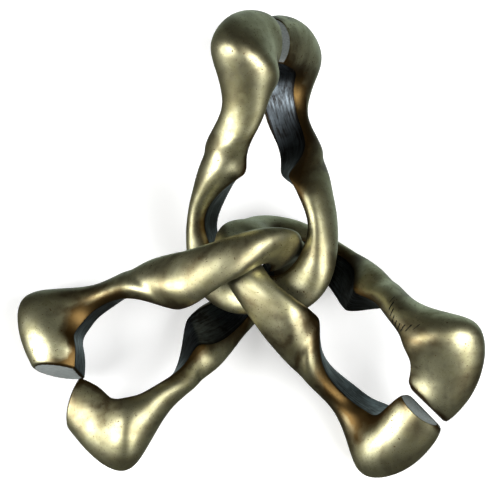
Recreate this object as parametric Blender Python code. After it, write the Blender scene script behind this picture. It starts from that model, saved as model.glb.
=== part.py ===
"""Three linked metal rings: a disentanglement puzzle lying on a table.

Each casting is a bar bent into a ring that is not closed: two arms leave the loop end, part, come
together in a narrow throat, part again round an eye, and end in two round heads whose flat faces
stand apart by a gap. The castings are alike but for that gap: a narrow parallel slit on two of them,
an open wedge on the third. The side of the bar that faces the opening is cut flat. Seen
along its own length the ring is then twisted, so that the heads lie in a plane almost square to the
plane of the loop end. The same half turn about the long axis carries one arm onto the other.

Every ring's loop end passes through the two other rings. Lengths are in millimetres until the mesh
is written. A ring's own frame has X along its long axis, from the loop end to the heads, Y towards
the first arm at the loop end and its origin in the middle of the bar at the loop end.
"""
import math
from collections import namedtuple

import bmesh
import bpy
import numpy as np
from mathutils import Matrix, Vector

MM = 0.001

# ---- overall sizes of one casting, in mm ---------------------------------------------------------
RING_LENGTH = 44.0       # from the middle of the bar at the loop end to the tips of the heads
LOOP_SPAN = 21.2         # between the middles of the two arms, where the loop is widest
THROAT_SPAN = 14.4
EYE_SPAN = 20.2
HEAD_SPAN = 23.2
SLIT_SPAN = 0.8          # between the two flat faces of a slit
WEDGE_SPAN = 6.6         # between the middles of the two flat faces of the wedge

# ---- the bar: width in the plane of the ring, depth across it ------------------------------------
LOOP_WIDTH = 7.1
LOOP_DEPTH = 4.8
CORNER_WIDTH = 6.7
CORNER_DEPTH = 5.0
ARM_WIDTH = 4.0
ARM_DEPTH = 8.1
THROAT_WIDTH = 7.2
THROAT_DEPTH = 10.5
NECK_WIDTH = 4.2
NECK_DEPTH = 7.9
HEAD_WIDTH = 11.5
HEAD_DEPTH = 10.5
SLIT_FACE_WIDTH = 6.9    # flat faces beside the gap
WEDGE_FACE_WIDTH = 7.7
FACE_DEPTH = 8.0

# ---- twist and section ---------------------------------------------------------------------------
TWIST = 80.8             # turn of the heads against the loop end, degrees
TWIST_START = 0.26       # where the twist starts and ends, as a share of the ring's length
TWIST_END = 0.67
SLIT_TILT = 25.0         # lean of the flat faces about the long axis, degrees
WEDGE_TILT = -12.0
ROUNDNESS = 2.0          # exponent of the section's outline: 2 is an ellipse, more is squarer
WALL_CUT = 0.68          # where the flat inner wall cuts the bar, as a share of its half width

SPAN_STEPS = 3           # faces between two sections
ARC_STEPS = 18           # faces round the outside of the bar
WALL_STEPS = 5           # faces across its flat inner wall

Section = namedtuple("Section", "along span width slant depth rise")
Gap = namedtuple("Gap", "sections tilt")
Pose = namedtuple("Pose", "name place heading pitch roll gap")

# Sections of one arm of the flat blank, from the middle of the loop end to the head: how far along
# the ring as a share of its length, how far apart the arms' middles are there, the bar's width and the
# direction from its inner to its outer side in degrees, its depth, and how far it rises from the plane.
SECTIONS = (
    Section(0.00, 0.0, LOOP_WIDTH, 180.0, LOOP_DEPTH, 0.0),
    Section(-0.01, 8.0, 6.8, 161.0, 3.7, -0.6),
    Section(0.05, 17.0, CORNER_WIDTH, 138.0, CORNER_DEPTH, -0.3),
    Section(0.165, LOOP_SPAN, 5.0, 118.0, 6.8, -0.1),
    Section(0.28, 20.4, ARM_WIDTH, 93.0, ARM_DEPTH, 0.8),
    Section(0.37, 17.0, 5.6, 89.0, 10.4, 0.5),
    Section(0.43, 14.8, 7.0, 77.0, THROAT_DEPTH, 0.7),
    Section(0.475, THROAT_SPAN, THROAT_WIDTH, 72.0, 9.4, 0.7),
    Section(0.54, 17.4, 4.4, 92.0, 9.5, 0.9),
    Section(0.655, EYE_SPAN, NECK_WIDTH, 107.0, NECK_DEPTH, 1.9),
    Section(0.765, HEAD_SPAN, 8.2, 78.0, 9.7, 2.9),
    Section(0.85, HEAD_SPAN, HEAD_WIDTH, 66.0, HEAD_DEPTH, 2.1),
)

# The last sections of an arm, from the head to the gap face.
SLIT = Gap((
    Section(0.910, 13.8, 10.6, 38.5, 9.4, 0.6),
    Section(0.923, 4.4, 8.5, 9.5, 8.9, 0.3),
    Section(0.923, SLIT_SPAN, SLIT_FACE_WIDTH, 1.0, FACE_DEPTH, 0.1),
), SLIT_TILT)
WEDGE = Gap((
    Section(0.895, 16.0, 10.7, 49.0, 9.1, 0.6),
    Section(0.93, WEDGE_SPAN, WEDGE_FACE_WIDTH, 38.5, FACE_DEPTH, 0.5),
), WEDGE_TILT)

# The group rests on the undersides of three rings: it is tipped by these angles from the plane in
# which the rings' places are given.
LAY_TIP_X = 16.04
LAY_TIP_Y = -3.42

RINGS = (
    Pose("ring_top", (1.7, -6.8, -0.9), 88.1, 0.8, 158.3, SLIT),
    Pose("ring_left", (5.4, -0.3, 1.2), -147.8, 0.0, 111.2, WEDGE),
    Pose("ring_right", (0.8, 2.3, -5.5), -45.1, 18.2, 124.6, SLIT),
)


def section_row(section):
    """A section as one row: its inner edge, its outer edge, depth and rise."""
    slant = math.radians(section.slant)
    half = np.array((math.cos(slant), math.sin(slant))) * section.width / 2.0
    middle = np.array((section.along * RING_LENGTH, section.span / 2.0))
    return [*(middle - half), *(middle + half), section.depth, section.rise]


def smooth_step(value):
    value = np.clip(value, 0.0, 1.0)
    return value * value * (3.0 - 2.0 * value)


def curve_through(points, steps):
    """A smooth curve through rows of values: a natural cubic spline, `steps` rows to each span."""
    points = np.asarray(points, float)
    count = len(points)
    matrix = np.eye(count)
    right = np.zeros_like(points)
    for i in range(1, count - 1):
        matrix[i, i - 1:i + 2] = (1.0, 4.0, 1.0)
        right[i] = 6.0 * (points[i + 1] - 2.0 * points[i] + points[i - 1])
    bend = np.linalg.solve(matrix, right)
    rows = []
    for step in range((count - 1) * steps + 1):
        i = min(step // steps, count - 2)
        f = step / steps - i
        straight = (1.0 - f) * points[i] + f * points[i + 1]
        rows.append(straight - f * (1.0 - f) / 6.0 * ((2.0 - f) * bend[i] + (1.0 + f) * bend[i + 1]))
    return np.array(rows)


def blank_rows(gap):
    """Both arms of the flat blank, from gap face to gap face, as smooth rows of section values."""
    arm = [section_row(section) for section in SECTIONS + gap.sections]
    half_turn = np.array((1.0, -1.0, 1.0, -1.0, 1.0, -1.0))
    other_arm = [list(half_turn * row) for row in arm[:0:-1]]
    return curve_through(other_arm + arm, SPAN_STEPS)


def bar_outline():
    """Points of the bar's section, one wide each way: a round whose inner side is cut flat."""
    power = 2.0 / ROUNDNESS
    corner = math.acos(-WALL_CUT)
    points = []
    for k in range(ARC_STEPS + 1):
        angle = corner * (2.0 * k / ARC_STEPS - 1.0)
        across = math.copysign(abs(math.cos(angle)) ** power, math.cos(angle))
        up = math.copysign(abs(math.sin(angle)) ** power, math.sin(angle))
        points.append((across, up))
    wall, top = points[-1]
    for k in range(1, WALL_STEPS):
        points.append((wall, top * (1.0 - 2.0 * k / WALL_STEPS)))
    return points


def section_outline(row, outline, tilt):
    """The bar's section at one row, in the blank's plane and across it."""
    inner, outer, depth, rise = row[0:2], row[2:4], row[4], row[5]
    wall = -min(across for across, up in outline)
    middle = inner + (outer - inner) * wall / (1.0 + wall)
    half = outer - middle
    lean = math.tan(math.radians(tilt))
    points = []
    for across, up in outline:
        z = depth / 2.0 * up + rise
        points.append((middle[0] + half[0] * across, middle[1] + half[1] * across + lean * z, z))
    return points


def twisted(point):
    """Turn a point of the flat blank about the long axis, by how far along the ring it lies."""
    share = smooth_step((point[0] / RING_LENGTH - TWIST_START) / (TWIST_END - TWIST_START))
    return Matrix.Rotation(math.radians(TWIST) * share, 3, "X") @ Vector(point)


def ring_mesh(gap):
    """The closed skin of one casting, in its own frame, in metres."""
    rows = blank_rows(gap)
    outline = bar_outline()
    last = len(rows) - 1
    mesh = bmesh.new()
    loops = []
    for number, row in enumerate(rows):
        from_end = min(number, last - number) / (2.5 * SPAN_STEPS)
        points = section_outline(row, outline, gap.tilt * (1.0 - float(smooth_step(from_end))))
        loops.append([mesh.verts.new(twisted(point) * MM) for point in points])
    for one, two in zip(loops, loops[1:]):
        for k in range(len(outline)):
            after = (k + 1) % len(outline)
            mesh.faces.new((one[k], one[after], two[after], two[k]))
    mesh.faces.new(loops[0])
    mesh.faces.new(loops[-1])
    bmesh.ops.recalc_face_normals(mesh, faces=mesh.faces)
    data = bpy.data.meshes.new("casting")
    mesh.to_mesh(data)
    mesh.free()
    data.shade_smooth()
    data.set_sharp_from_angle(angle=math.radians(35.0))
    return data


def antique_brass(name):
    """Dark browned brass with a satin shine."""
    material = bpy.data.materials.new(name)
    material.use_nodes = True
    shader = material.node_tree.nodes["Principled BSDF"]
    shader.inputs["Base Color"].default_value = (0.30, 0.26, 0.14, 1.0)
    shader.inputs["Metallic"].default_value = 1.0
    shader.inputs["Roughness"].default_value = 0.38
    return material


def ring(pose):
    """One named casting at its place in the linked group."""
    piece = bpy.data.objects.new(pose.name, ring_mesh(pose.gap))
    piece.data.materials.append(antique_brass(pose.name))
    piece.location = Vector(pose.place) * MM
    piece.rotation_euler = (math.radians(pose.roll), math.radians(-pose.pitch), math.radians(pose.heading))
    bpy.context.scene.collection.objects.link(piece)
    return piece


def lay_on_table(pieces):
    """Tip the group on to its three resting points and centre it over the origin."""
    stand = bpy.data.objects.new("laid_group", None)
    bpy.context.scene.collection.objects.link(stand)
    stand.rotation_euler = (math.radians(LAY_TIP_X), math.radians(LAY_TIP_Y), 0.0)
    for piece in pieces:
        piece.parent = stand
    bpy.context.view_layer.update()
    corners = np.array([piece.matrix_world @ v.co for piece in pieces for v in piece.data.vertices])
    low, high = corners.min(axis=0), corners.max(axis=0)
    stand.location = (-(low[0] + high[0]) / 2.0, -(low[1] + high[1]) / 2.0, -low[2])


def clear_scene():
    for thing in list(bpy.data.objects):
        bpy.data.objects.remove(thing, do_unlink=True)


clear_scene()
lay_on_table([ring(pose) for pose in RINGS])
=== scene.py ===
import math
from collections import namedtuple

import bmesh
import bpy
import numpy as np
from mathutils import Euler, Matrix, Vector
from mathutils.bvhtree import BVHTree

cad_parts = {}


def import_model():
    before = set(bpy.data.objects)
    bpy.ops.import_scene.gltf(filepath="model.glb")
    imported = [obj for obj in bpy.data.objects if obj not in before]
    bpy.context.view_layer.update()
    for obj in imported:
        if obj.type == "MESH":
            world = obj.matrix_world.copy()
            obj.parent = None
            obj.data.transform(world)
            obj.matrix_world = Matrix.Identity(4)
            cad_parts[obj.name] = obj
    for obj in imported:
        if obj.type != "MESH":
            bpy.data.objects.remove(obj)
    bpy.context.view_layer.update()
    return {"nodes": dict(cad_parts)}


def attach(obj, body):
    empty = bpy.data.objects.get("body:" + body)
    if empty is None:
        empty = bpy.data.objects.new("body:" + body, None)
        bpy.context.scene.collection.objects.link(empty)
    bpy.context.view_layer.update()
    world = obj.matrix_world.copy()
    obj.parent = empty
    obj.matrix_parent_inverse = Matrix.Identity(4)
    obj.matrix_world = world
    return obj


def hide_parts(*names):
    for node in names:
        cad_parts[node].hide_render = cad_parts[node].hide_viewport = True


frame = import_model()

MM = 0.001
RINGS = ("ring_top", "ring_left", "ring_right")
SLIT_RINGS = ("ring_top", "ring_right")
MARKED_RING = "ring_right"

# ---- camera: square on to the plane in which the rings are laid out -------------------------------
CAMERA_TIP = (math.radians(16.04), math.radians(-3.42), 0.0)
CAMERA_AIM = Vector((0.4, -1.5, 13.4)) * MM
CAMERA_DISTANCE = 406 * MM
CAMERA_LENS = 182.7
CAMERA_CLIP = 10 * MM

# ---- studio, lengths in metres -------------------------------------------------------------------
SoftBox = namedtuple("SoftBox", "name degrees_right degrees_down width height glow")
SOFT_BOXES = (
    SoftBox("soft_box_left", -57.0, 8.0, 0.40, 0.80, 10.0),
    SoftBox("soft_box_right", 40.0, 12.0, 0.60, 0.66, 7.6),
)
SOFT_BOX_DISTANCE = 0.8
PALE_SIDE = Vector((0.25, 0.60, -0.75)).normalized()
PALE_FROM = 0.74                 # how squarely a direction faces the pale side where it begins
PALE_FULL = 0.95
PALE_STUDIO = (0.50, 0.62, 0.60)
DARK_STUDIO = (0.045, 0.047, 0.040)
TABLE_HALF = 1.5
TABLE_WHITE = (0.86, 0.86, 0.86, 1.0)
FLOOR_GLOW = 0.35

# ---- skin of a casting ---------------------------------------------------------------------------
SKIN_LEVELS = 2                  # subdivisions of the coarse casting
RIPPLE_DEPTH = 0.12 * MM         # hand polishing leaves the surface this uneven
RIPPLE_SIZE = 5.0 * MM
WELD = 0.002 * MM                # corners of the solid nearer than this are one
FLAT_WITHIN = math.radians(0.05)
SHARP_FROM = math.radians(30.0)
WALL_COLUMNS = 4                 # faces across the flat inner wall
RIM_CREASE = 0.85                # the wall's rims are crisp
BEVEL_CREASE = 0.7
BEVEL = 0.35 * MM                # worn edge of a gap face

# ---- facet ground on beside each face of a slit ----------------------------------------------------
FACET_TURN = math.radians(30.0)  # from the gap face to the facet
FACET_START = 0.9 * MM           # from the middle of the gap face to the facet
FACET_RIM = 0.22 * MM            # bright worn rim round the facet
HEAD_REACH = 9 * MM              # the head lies within this of the middle of its gap face
HEAD_SLACK = 0.3 * MM            # and no further than this in front of it

# ---- a row of plain engraved strokes on one arm, measured along the bar and round it ---------------
MARKS_FROM = 38.6 * MM
MARKS_TO = 46.2 * MM
MARK_STEP = 0.95 * MM
MARK_WIDTH = 0.30 * MM
MARK_HEIGHT = 1.6 * MM
MARKS_LINE = 12.0 * MM           # foot of the first stroke, from one rim of the wall
MARKS_RISE = 0.62                # how fast the row runs round the bar on its way along it

# ---- painted shade in the hollows: how far each point is closed in -------------------------------
HOLLOW_RAYS = 48
HOLLOW_REACH = 16.0 * MM
HOLLOW_LIFT = 0.15 * MM          # the rays start this far above the skin

# ---- places of the materials on a casting ----------------------------------------------------------
BRASS = 0
GROUND = 1
WALL = 2


# ---- node helpers --------------------------------------------------------------------------------
def feed(tree, socket, value):
    """Give a socket another node's output, a colour or a plain value."""
    if isinstance(value, bpy.types.NodeSocket):
        tree.links.new(value, socket)
    elif socket.type == "RGBA":
        socket.default_value = (*value, 1.0)
    else:
        socket.default_value = value


def add_node(tree, kind, links=None, **settings):
    """A node with its settings; links gives each input a value or another node's output."""
    node = tree.nodes.new(kind)
    for name, value in settings.items():
        setattr(node, name, value)
    for key, value in (links or {}).items():
        feed(tree, node.inputs[key], value)
    return node


def ramp(tree, factor, stops):
    """A colour ramp over (position, grey or colour) stops."""
    node = add_node(tree, "ShaderNodeValToRGB", {"Fac": factor})
    band = node.color_ramp
    while len(band.elements) < len(stops):
        band.elements.new(0.5)
    for element, (place, colour) in zip(band.elements, stops):
        element.position = place
        element.color = (*colour, 1.0) if isinstance(colour, tuple) else (colour, colour, colour, 1.0)
    return node.outputs["Color"]


def mix_colour(tree, factor, first, second):
    """The first colour where the factor is nought, the second where it is one."""
    node = add_node(tree, "ShaderNodeMix", data_type="RGBA", blend_type="MIX")
    for number, value in ((0, factor), (6, first), (7, second)):
        feed(tree, node.inputs[number], value)
    return node.outputs[2]


def maths(tree, operation, first, second=0.5, third=0.5):
    return add_node(tree, "ShaderNodeMath", {0: first, 1: second, 2: third}, operation=operation).outputs[0]


def noise(tree, vector, size, detail=4.0, roughness=0.55, distortion=0.0):
    """Noise whose blotches are about `size` metres across."""
    return add_node(tree, "ShaderNodeTexNoise", {
        "Vector": vector, "Scale": 1.0 / size, "Detail": detail,
        "Roughness": roughness, "Distortion": distortion}).outputs["Fac"]


def attribute(tree, name):
    return add_node(tree, "ShaderNodeAttribute", attribute_name=name).outputs["Fac"]


def object_place(tree):
    return add_node(tree, "ShaderNodeTexCoord").outputs["Object"]


def new_material(name):
    material = bpy.data.materials.new(name)
    material.use_nodes = True
    return material, material.node_tree, material.node_tree.nodes["Principled BSDF"]


def bumped(tree, shader, height, strength, distance):
    bump = add_node(tree, "ShaderNodeBump", {"Height": height, "Strength": strength, "Distance": distance})
    tree.links.new(bump.outputs["Normal"], shader.inputs["Normal"])


# ---- materials -----------------------------------------------------------------------------------
BRIGHT_BRASS = (0.60, 0.58, 0.37)
WORN_BRASS = (0.33, 0.31, 0.17)
# brown of the patina drifts and the specks, also used as painted shade in the hollows
BROWN_PATINA_AND_SHADE = (0.085, 0.052, 0.018)
BLACK_PATINA = (0.012, 0.011, 0.010)
SLATE = (0.10, 0.12, 0.135)
GREY_ZINC = (0.46, 0.50, 0.48)
DULL_ZINC = (0.26, 0.28, 0.28)
SPECK_ROUGHNESS = (0.6, 0.6, 0.6)
HOLLOW_SHADE_WEIGHT = 11.0             # weight of the painted shade in the hollows; the rings are open, so even their hollows are closed in only a little
GRINDING_TURN = (0.6, 0.4, 0.78)
GRINDING_STRETCH = (1, 14, 14)


def engraved_strokes(tree):
    """One inside the engraved strokes of the marked arm, nought elsewhere."""
    along = attribute(tree, "along")
    around = attribute(tree, "around")
    start = maths(tree, "SUBTRACT", along, MARKS_FROM)
    beat = maths(tree, "PINGPONG", start, MARK_STEP / 2.0)
    stroke = maths(tree, "LESS_THAN", beat, MARK_WIDTH / 2.0)
    foot = maths(tree, "MULTIPLY_ADD", start, MARKS_RISE, MARKS_LINE)
    height = maths(tree, "SUBTRACT", foot, around)
    tall = maths(tree, "MULTIPLY", maths(tree, "GREATER_THAN", height, 0.0),
                 maths(tree, "LESS_THAN", height, MARK_HEIGHT))
    inside = maths(tree, "MULTIPLY", maths(tree, "GREATER_THAN", start, 0.0),
                   maths(tree, "LESS_THAN", along, MARKS_TO))
    marked = maths(tree, "MULTIPLY", attribute(tree, "marked"), inside)
    return maths(tree, "MULTIPLY", maths(tree, "MULTIPLY", stroke, tall), marked)


def patina_and_shade_cover(tree, place, mottle):
    """How far the brass turns brown: painted shade in the hollows, and brown patina in broad drifts."""
    drifts = noise(tree, place, 13 * MM, detail=3.0, roughness=0.6, distortion=1.0)
    # painted shade: the closure stored by shade_hollows, weighted, darkens the brass towards brown, on top of
    # the patina drifts
    cover = maths(tree, "MULTIPLY_ADD", attribute(tree, "hollow"), HOLLOW_SHADE_WEIGHT,
                  maths(tree, "MULTIPLY", drifts, 0.90))
    cover = maths(tree, "MULTIPLY_ADD", mottle, 0.35, cover)
    return ramp(tree, cover, ((0.56, 0.0), (0.80, 0.80), (1.10, 1.0)))


def specks_and_pits(tree, place, clouds, grain):
    """Fine dark specks everywhere, and deeper pits mostly in the bright clouds."""
    pits = noise(tree, place, 0.55 * MM, detail=2.0, roughness=0.5)
    pits = ramp(tree, maths(tree, "MULTIPLY_ADD", clouds, -0.25, pits), ((0.13, 1.0), (0.17, 0.0)))
    specks = ramp(tree, grain, ((0.33, 1.0), (0.39, 0.0)))
    return maths(tree, "MAXIMUM", maths(tree, "MULTIPLY", specks, 0.6), pits)


def brass_with_painted_shade():
    """Brass plating rubbed bright in random clouds, with brown patina in broad drifts and painted shade in
    the hollows.
    """
    material, tree, shader = new_material("brass_patina_and_painted_shade")
    place = object_place(tree)
    clouds = noise(tree, place, 7 * MM, detail=3.0, roughness=0.6, distortion=0.6)
    mottle = noise(tree, place, 1.3 * MM, detail=5.0, roughness=0.65, distortion=0.3)
    grain = noise(tree, place, 0.28 * MM, detail=3.0, roughness=0.6)
    rubbed = maths(tree, "MULTIPLY_ADD", clouds, 0.55, maths(tree, "MULTIPLY", mottle, 0.45))
    specks = specks_and_pits(tree, place, clouds, grain)
    strokes = engraved_strokes(tree)

    colour = ramp(tree, rubbed, ((0.38, WORN_BRASS), (0.58, BRIGHT_BRASS)))
    # painted shade in the hollows and brown patina in drifts, mixed over the brass
    colour = mix_colour(tree, patina_and_shade_cover(tree, place, mottle), colour, BROWN_PATINA_AND_SHADE)
    colour = mix_colour(tree, specks, colour, BROWN_PATINA_AND_SHADE)
    colour = mix_colour(tree, strokes, colour, BLACK_PATINA)
    tree.links.new(colour, shader.inputs["Base Color"])
    shader.inputs["Metallic"].default_value = 1.0

    rough = ramp(tree, rubbed, ((0.30, 0.47), (0.70, 0.35)))
    rough = mix_colour(tree, specks, rough, SPECK_ROUGHNESS)
    tree.links.new(rough, shader.inputs["Roughness"])

    height = maths(tree, "ADD", maths(tree, "MULTIPLY", mottle, 0.35), maths(tree, "MULTIPLY", grain, 0.12))
    height = maths(tree, "SUBTRACT", height, maths(tree, "MULTIPLY", specks, 0.25))
    height = maths(tree, "SUBTRACT", height, strokes)
    bumped(tree, shader, height, 0.35, 0.08 * MM)
    return material


def slate_wall():
    """The flat inner wall: darkened metal with fine lines along the bar and black edges."""
    material, tree, shader = new_material("slate_wall_finish")
    across = attribute(tree, "across")
    along = attribute(tree, "along")
    course = add_node(tree, "ShaderNodeCombineXYZ", {
        0: maths(tree, "MULTIPLY", along, 0.12), 1: maths(tree, "MULTIPLY", across, 8 * MM), 2: 0.0})
    lines = noise(tree, course.outputs[0], 0.5 * MM, detail=4.0, roughness=0.65)
    clouds = noise(tree, object_place(tree), 4 * MM, detail=4.0, roughness=0.6, distortion=0.5)
    tone = maths(tree, "MULTIPLY_ADD", lines, 0.5, maths(tree, "MULTIPLY", clouds, 0.5))
    colour = ramp(tree, tone, ((0.42, BLACK_PATINA), (0.62, SLATE)))
    from_middle = maths(tree, "ABSOLUTE", maths(tree, "SUBTRACT", across, 0.5))
    edge = ramp(tree, from_middle, ((0.40, 0.0), (0.48, 1.0)))
    colour = mix_colour(tree, edge, colour, BLACK_PATINA)
    tree.links.new(colour, shader.inputs["Base Color"])
    shader.inputs["Metallic"].default_value = 1.0
    tree.links.new(ramp(tree, tone, ((0.4, 0.50), (0.6, 0.34))), shader.inputs["Roughness"])
    bumped(tree, shader, lines, 0.25, 0.05 * MM)
    return material


def ground_zinc():
    """The bare metal of a face ground flat: grey, with fine parallel grinding lines."""
    material, tree, shader = new_material("ground_gap_face")
    along = add_node(tree, "ShaderNodeMapping", {
        "Vector": object_place(tree), "Rotation": GRINDING_TURN, "Scale": GRINDING_STRETCH})
    lines = noise(tree, along.outputs["Vector"], 2.2 * MM, detail=4.0, roughness=0.7)
    colour = ramp(tree, lines, ((0.3, DULL_ZINC), (0.7, GREY_ZINC)))
    tree.links.new(colour, shader.inputs["Base Color"])
    shader.inputs["Metallic"].default_value = 0.55
    tree.links.new(ramp(tree, lines, ((0.3, 0.55), (0.7, 0.38))), shader.inputs["Roughness"])
    bumped(tree, shader, lines, 0.3, 0.05 * MM)
    return material


def pale_floor():
    material, tree, shader = new_material("pale_floor")
    shader.inputs["Base Color"].default_value = TABLE_WHITE
    shader.inputs["Roughness"].default_value = 0.7
    shader.inputs["Emission Color"].default_value = (1.0, 1.0, 1.0, 1.0)
    shader.inputs["Emission Strength"].default_value = FLOOR_GLOW
    return material


# ---- reading the rows of a casting off its solid ---------------------------------------------------
def flat_patches(mesh):
    """The two largest groups of faces that lie in one plane: the gap faces."""
    seen = set()
    groups = []
    for first in mesh.faces:
        if first in seen:
            continue
        group = {first}
        todo = [first]
        while todo:
            face = todo.pop()
            for edge in face.edges:
                for other in edge.link_faces:
                    if other not in group and other.normal.angle(first.normal) < FLAT_WITHIN:
                        group.add(other)
                        todo.append(other)
        seen |= group
        groups.append(group)
    groups.sort(key=len)
    return groups[-1], groups[-2]


def cycle(edges):
    """The vertices of a closed chain of edges, in order."""
    step = {}
    for edge in edges:
        one, two = edge.verts
        step.setdefault(one, []).append(two)
        step.setdefault(two, []).append(one)
    start = edges[0].verts[0]
    chain = [start]
    before = None
    here = start
    while True:
        after = [vert for vert in step[here] if vert is not before][0]
        if after is start:
            return chain
        chain.append(after)
        before, here = here, after


def boundary(group):
    return cycle([edge for face in group for edge in face.edges
                  if sum(other in group for other in edge.link_faces) == 1])


def bar_rows(mesh):
    """The chains of vertices round the bar, from one gap face to the other."""
    first, last = flat_patches(mesh)
    end = boundary(last)
    row = boundary(first)
    rows = []
    seen = set()
    while True:
        rows.append([vert.co.copy() for vert in row])
        seen.update(row)
        beyond = {edge.other_vert(vert) for vert in row for edge in vert.link_edges} - seen
        if not beyond:
            return rows
        if beyond == set(end):
            row = end
        else:
            row = cycle(list({edge for vert in beyond for edge in vert.link_edges
                              if edge.other_vert(vert) in beyond}))


def sharpest(row):
    """The places in a chain of its two sharpest corners: the rims of the flat wall."""
    bends = []
    for k, point in enumerate(row):
        back = point - row[k - 1]
        ahead = row[(k + 1) % len(row)] - point
        bends.append((back.angle(ahead), k))
    return [k for bend, k in sorted(bends)[-2:]]


def rim_to_rim(row, before):
    """The round part of a chain, from the rim that lies nearer to `before` to the other rim."""
    one, two = sharpest(row)
    if before is not None and (row[two] - before).length < (row[one] - before).length:
        one, two = two, one
    count = len(row)
    forward = [row[(one + k) % count] for k in range((two - one) % count + 1)]
    backward = [row[(one - k) % count] for k in range((one - two) % count + 1)]
    return max((forward, backward), key=len)


def worn_end(last, before):
    """Two rows in place of an end row: the outer edge of its bevel and the inner edge."""
    middle = sum(last, Vector()) / len(last)
    outer = []
    inner = []
    for point, behind in zip(last, before):
        outer.append(point + (behind - point).normalized() * BEVEL)
        inner.append(point + (middle - point).normalized() * BEVEL)
    return outer, inner


def casting_rows(node):
    """Even rows of points round one casting's bar, and how many points of each lie on its round."""
    source = bmesh.new()
    source.from_mesh(frame["nodes"][node].data)
    bmesh.ops.remove_doubles(source, verts=source.verts, dist=WELD)
    source.normal_update()
    rows = []
    start = None
    for chain in bar_rows(source):
        arc = rim_to_rim(chain, start)
        start = arc[0]
        wall = [arc[-1].lerp(arc[0], k / WALL_COLUMNS) for k in range(1, WALL_COLUMNS)]
        rows.append(arc + wall)
    source.free()
    first_outer, first_inner = worn_end(rows[0], rows[1])
    last_outer, last_inner = worn_end(rows[-1], rows[-2])
    return [first_inner, first_outer] + rows[1:-1] + [last_outer, last_inner], len(arc)


# ---- coarse skin of a casting ----------------------------------------------------------------------
def length_along(points):
    steps = [0.0]
    for one, two in zip(points, points[1:]):
        steps.append(steps[-1] + (two - one).length)
    return steps


def place_rows(mesh, rows, round_count, marked):
    """The rows as vertices; each stores where on the bar it lies and whether its ring is marked."""
    layers = {name: mesh.verts.layers.float.new(name) for name in ("along", "around", "across", "marked")}
    run = length_along([sum(row, Vector()) / len(row) for row in rows])
    grid = []
    for row, along in zip(rows, run):
        around = length_along(row[:round_count])
        line = []
        for k, point in enumerate(row):
            vert = mesh.verts.new(point)
            vert[layers["along"]] = along - run[-1] / 2.0
            vert[layers["around"]] = around[min(k, round_count - 1)]
            vert[layers["across"]] = 1.0 if k == 0 else max(0.0, (k - round_count + 1) / WALL_COLUMNS)
            vert[layers["marked"]] = marked
            line.append(vert)
        grid.append(line)
    return grid


def span_rows(mesh, grid, round_count):
    """Quads from row to row and a gap face over each end; the bevels have no wall of their own."""
    for one, two in zip(grid, grid[1:]):
        bevel = one is grid[0] or two is grid[-1]
        for k in range(len(one)):
            after = (k + 1) % len(one)
            face = mesh.faces.new((one[k], one[after], two[after], two[k]))
            face.material_index = WALL if k >= round_count - 1 and not bevel else BRASS
    for line in (grid[0], grid[-1]):
        mesh.faces.new(line).material_index = GROUND
    bmesh.ops.recalc_face_normals(mesh, faces=mesh.faces)
    for face in mesh.faces:
        face.smooth = True


def crease_edges(mesh, crease, grid, round_count):
    """Keep the rims of the wall and both edges of each bevel from being smoothed away."""
    for one, two in zip(grid, grid[1:]):
        for k in (0, round_count - 1):
            mesh.edges.get((one[k], two[k]))[crease] = RIM_CREASE
    for line in (grid[0], grid[1], grid[-2], grid[-1]):
        for k, vert in enumerate(line):
            mesh.edges.get((vert, line[(k + 1) % len(line)]))[crease] = BEVEL_CREASE


def coarse_casting(node):
    """The casting's coarse skin rebuilt as even quads, its rims creased and its surfaces marked."""
    rows, round_count = casting_rows(node)
    mesh = bmesh.new()
    crease = mesh.edges.layers.float.new("crease_edge")
    grid = place_rows(mesh, rows, round_count, float(node == MARKED_RING))
    span_rows(mesh, grid, round_count)
    crease_edges(mesh, crease, grid, round_count)
    return mesh


def half_sphere_rays():
    """Directions over the upper half sphere, along a spiral, denser the nearer they are to upright."""
    turns = np.arange(HOLLOW_RAYS)
    reach = np.sqrt((turns + 0.5) / HOLLOW_RAYS)
    angle = turns * math.pi * (3.0 - math.sqrt(5.0))
    return [Vector((r * math.cos(a), r * math.sin(a), math.sqrt(1.0 - r * r)))
            for r, a in zip(reach, angle)]


def shade_hollows(mesh, data):
    """Store on each vertex how far the casting itself closes in over it, 0 open, 1 closed: the brass paints
    shade in the hollows from it.
    """
    tree = BVHTree.FromBMesh(mesh)
    rays = half_sphere_rays()
    closed = []
    for vertex in mesh.verts:
        turn = vertex.normal.to_track_quat("Z", "Y")
        start = vertex.co + vertex.normal * HOLLOW_LIFT
        hits = 0.0
        for ray in rays:
            distance = tree.ray_cast(start, turn @ ray, HOLLOW_REACH)[3]
            if distance is not None:
                hits += 1.0 - distance / HOLLOW_REACH
        closed.append(hits / HOLLOW_RAYS)
    layer = data.attributes.new("hollow", "FLOAT", "POINT")
    layer.data.foreach_set("value", closed)


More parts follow.
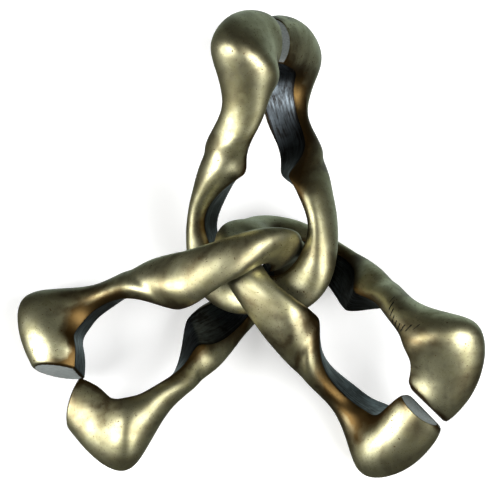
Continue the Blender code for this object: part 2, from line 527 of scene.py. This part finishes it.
# ---- finished skin of a casting --------------------------------------------------------------------
def skin_tree():
    """Geometry Nodes: smooth the coarse casting and give it the unevenness of hand polishing."""
    tree = bpy.data.node_groups.new("casting_skin", "GeometryNodeTree")
    sockets = tree.interface
    sockets.new_socket("Geometry", in_out="INPUT", socket_type="NodeSocketGeometry")
    sockets.new_socket("Levels", in_out="INPUT", socket_type="NodeSocketInt")
    sockets.new_socket("Ripple depth", in_out="INPUT", socket_type="NodeSocketFloat")
    sockets.new_socket("Ripple size", in_out="INPUT", socket_type="NodeSocketFloat")
    sockets.new_socket("Geometry", in_out="OUTPUT", socket_type="NodeSocketGeometry")
    inputs = add_node(tree, "NodeGroupInput").outputs
    crease = add_node(tree, "GeometryNodeInputNamedAttribute", {"Name": "crease_edge"}, data_type="FLOAT")
    smooth = add_node(tree, "GeometryNodeSubdivisionSurface", {
        "Mesh": inputs["Geometry"], "Level": inputs["Levels"], "Edge Crease": crease.outputs[0]})
    scale = maths(tree, "DIVIDE", 1.0, inputs["Ripple size"])
    ripple = add_node(tree, "ShaderNodeTexNoise", {"Scale": scale, "Detail": 2.0})
    sink = maths(tree, "SUBTRACT", ripple.outputs["Fac"], 1.0)
    depth = maths(tree, "MULTIPLY", sink, inputs["Ripple depth"])
    normal = add_node(tree, "GeometryNodeInputNormal")
    offset = add_node(tree, "ShaderNodeVectorMath", {0: normal.outputs[0], "Scale": depth}, operation="SCALE")
    moved = add_node(tree, "GeometryNodeSetPosition", {
        "Geometry": smooth.outputs[0], "Offset": offset.outputs[0]})
    output = add_node(tree, "NodeGroupOutput")
    tree.links.new(moved.outputs[0], output.inputs[0])
    return tree


def set_input(modifier, name, value):
    """Set a Geometry Nodes input by its shown name."""
    for item in modifier.node_group.interface.items_tree:
        if item.in_out == "INPUT" and item.name == name:
            modifier[item.identifier] = value


def gap_planes(mesh):
    """The middle and the normal of each of a slit's two gap faces, which look opposite ways."""
    ground = [face for face in mesh.faces if face.material_index == GROUND]
    first = [face for face in ground if face.normal.dot(ground[0].normal) > 0.0]
    second = [face for face in ground if face.normal.dot(ground[0].normal) <= 0.0]
    planes = []
    for faces in (first, second):
        area = sum(face.calc_area() for face in faces)
        middle = sum((face.calc_center_median() * face.calc_area() for face in faces), Vector()) / area
        planes.append((middle, sum((face.normal for face in faces), Vector()).normalized()))
    return planes


def on_head(part, middle, normal):
    """Whether a vertex, edge or face lies by the gap face and behind it."""
    verts = [part] if isinstance(part, bmesh.types.BMVert) else part.verts
    away = [vert.co - middle for vert in verts]
    return all(step.length < HEAD_REACH and step.dot(normal) < HEAD_SLACK for step in away)


def grind_facet(mesh, middle, normal, side):
    """Cut one head beside its gap face and close the cut with a flat facet in a worn rim."""
    out = normal * math.cos(FACET_TURN) + side * math.sin(FACET_TURN)
    geometry = mesh.verts[:] + mesh.edges[:] + mesh.faces[:]
    near = [part for part in geometry if on_head(part, middle, normal)]
    cut = bmesh.ops.bisect_plane(mesh, geom=near, plane_co=middle + side * FACET_START, plane_no=out,
                                 clear_outer=True)["geom_cut"]
    rim = [part for part in cut if isinstance(part, bmesh.types.BMEdge) and part.is_boundary]
    facet = bmesh.ops.contextual_create(mesh, geom=rim)["faces"]
    for face in facet:
        face.normal_update()
        if face.normal.dot(out) < 0.0:
            face.normal_flip()
        face.smooth = False
    border = bmesh.ops.inset_region(mesh, faces=facet, thickness=FACET_RIM)["faces"]
    for face in facet:
        face.material_index = GROUND
    for face in border:
        face.material_index = BRASS


def grind_facets(data):
    """Grind a facet on beside each gap face of a finished casting, the two on opposite sides."""
    mesh = bmesh.new()
    mesh.from_mesh(data)
    planes = gap_planes(mesh)
    heart = sum((vert.co for vert in mesh.verts), Vector()) / len(mesh.verts)
    gap = sum((middle for middle, normal in planes), Vector()) / len(planes)
    axis = (gap - heart).normalized()
    for middle, normal in planes:
        grind_facet(mesh, middle, normal, axis.cross(normal).normalized())
    mesh.to_mesh(data)
    mesh.free()


def casting(node, tree, materials):
    """The finished ring that stands for one casting."""
    mesh = coarse_casting(node)
    data = bpy.data.meshes.new(node + "_coarse")
    mesh.to_mesh(data)
    shade_hollows(mesh, data)
    mesh.free()
    for material in materials:
        data.materials.append(material)
    piece = bpy.data.objects.new(node + "_casting", data)
    bpy.context.scene.collection.objects.link(piece)
    skin = piece.modifiers.new("skin", "NODES")
    skin.node_group = tree
    set_input(skin, "Levels", SKIN_LEVELS)
    set_input(skin, "Ripple depth", RIPPLE_DEPTH)
    set_input(skin, "Ripple size", RIPPLE_SIZE)
    bpy.context.view_layer.update()
    shown = piece.evaluated_get(bpy.context.evaluated_depsgraph_get())
    finished = bpy.data.meshes.new_from_object(shown)
    finished.name = node + "_casting"
    piece.modifiers.clear()
    piece.data = finished
    if node in SLIT_RINGS:
        grind_facets(finished)
    finished.set_sharp_from_angle(angle=SHARP_FROM)
    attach(piece, node)
    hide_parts(node)


# ---- stage ---------------------------------------------------------------------------------------
def camera():
    lens = bpy.data.cameras.new("camera")
    lens.lens = CAMERA_LENS
    lens.clip_start = CAMERA_CLIP
    view = bpy.data.objects.new("camera", lens)
    bpy.context.scene.collection.objects.link(view)
    turn = Euler(CAMERA_TIP)
    view.rotation_euler = turn
    view.location = CAMERA_AIM + turn.to_matrix() @ Vector((0, 0, CAMERA_DISTANCE))
    bpy.context.scene.camera = view
    bpy.context.scene.view_settings.view_transform = "Standard"


def world():
    """A dim studio, pale low down beyond the table; the bars mirror it through the table."""
    sky = bpy.data.worlds.new("studio")
    bpy.context.scene.world = sky
    sky.use_nodes = True
    tree = sky.node_tree
    back = tree.nodes["Background"]
    direction = add_node(tree, "ShaderNodeTexCoord").outputs["Generated"]
    facing = add_node(tree, "ShaderNodeVectorMath", {0: direction, 1: PALE_SIDE}, operation="DOT_PRODUCT")
    wall = ramp(tree, facing.outputs["Value"], ((PALE_FROM, DARK_STUDIO), (PALE_FULL, PALE_STUDIO)))
    tree.links.new(wall, back.inputs["Color"])
    back.inputs["Strength"].default_value = 1.0


def floor():
    """A glowing white table top that throws no reflection on the bars."""
    corners = [(x * TABLE_HALF, y * TABLE_HALF, 0) for x, y in ((-1, -1), (1, -1), (1, 1), (-1, 1))]
    data = bpy.data.meshes.new("table")
    data.from_pydata(corners, [], [(0, 1, 2, 3)])
    data.materials.append(pale_floor())
    plane = bpy.data.objects.new("table", data)
    bpy.context.scene.collection.objects.link(plane)
    plane.visible_glossy = False


def soft_boxes():
    """One large light on each side of the camera, turned to what the camera looks at."""
    camera_turn = Euler(CAMERA_TIP).to_matrix()
    for box in SOFT_BOXES:
        turn = Euler((math.radians(box.degrees_down), math.radians(box.degrees_right), 0.0)).to_matrix()
        place = CAMERA_AIM + camera_turn @ (turn @ Vector((0, 0, 1))) * SOFT_BOX_DISTANCE
        light = bpy.data.lights.new(box.name, "AREA")
        light.shape = "RECTANGLE"
        light.size = box.width
        light.size_y = box.height
        light.energy = box.glow * math.pi * box.width * box.height
        lamp = bpy.data.objects.new(box.name, light)
        bpy.context.scene.collection.objects.link(lamp)
        lamp.location = place
        lamp.rotation_euler = (place - CAMERA_AIM).to_track_quat("Z", "Y").to_euler()


camera()
world()
floor()
soft_boxes()
finish = [brass_with_painted_shade(), ground_zinc(), slate_wall()]
skin = skin_tree()
for ring in RINGS:
    casting(ring, skin, finish)
